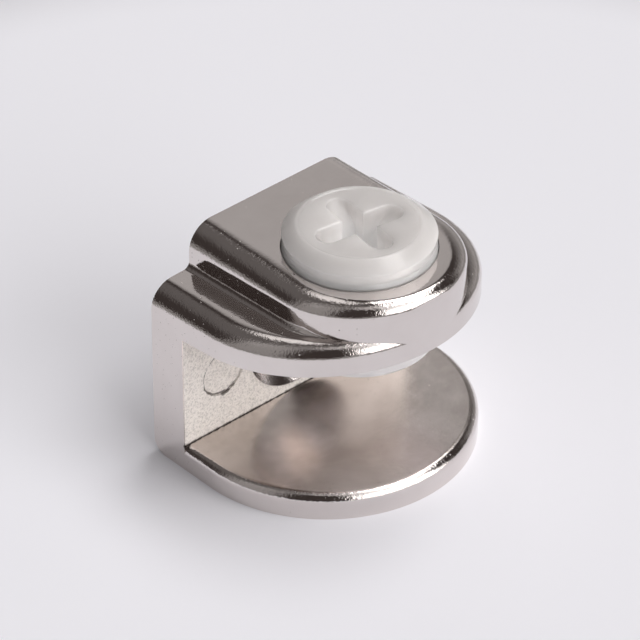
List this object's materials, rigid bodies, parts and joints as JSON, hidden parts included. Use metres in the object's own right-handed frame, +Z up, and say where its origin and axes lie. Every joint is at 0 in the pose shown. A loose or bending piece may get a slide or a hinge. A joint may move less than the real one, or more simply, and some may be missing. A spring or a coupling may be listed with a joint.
{
  "type": "glass panel clamp",
  "caption": "Small D-shaped metal clamp that holds the edge of a glass panel in an open slot, with a plastic clamping screw through its stepped upper jaw and a countersunk hole in its rear wall.",
  "frame": {"origin": "centre of the fixing hole, on the rear face that seats on the wall", "axes": "+Z up, square to the level top of the upper jaw; +Y into the wall, so the slot opens towards -Y; +X along the edge of the glass panel"},
  "size_m": [0.024, 0.0187, 0.0214],
  "materials": {
    "nickel_plate": "nickel-plated zinc die casting, polished outside and as cast in the slot",
    "nylon": "natural nylon, milky and slightly translucent"
  },
  "bodies": {
    "body": {"clamp_body": "nickel_plate"},
    "screw": {"clamping_screw": "nylon"}
  },
  "joints": [
    {"name": "screw_travel", "type": "slide", "parent": "body", "child": "screw", "axis": [0, 0, 1], "range_m": [-0.00375, 0.0021]}
  ]
}
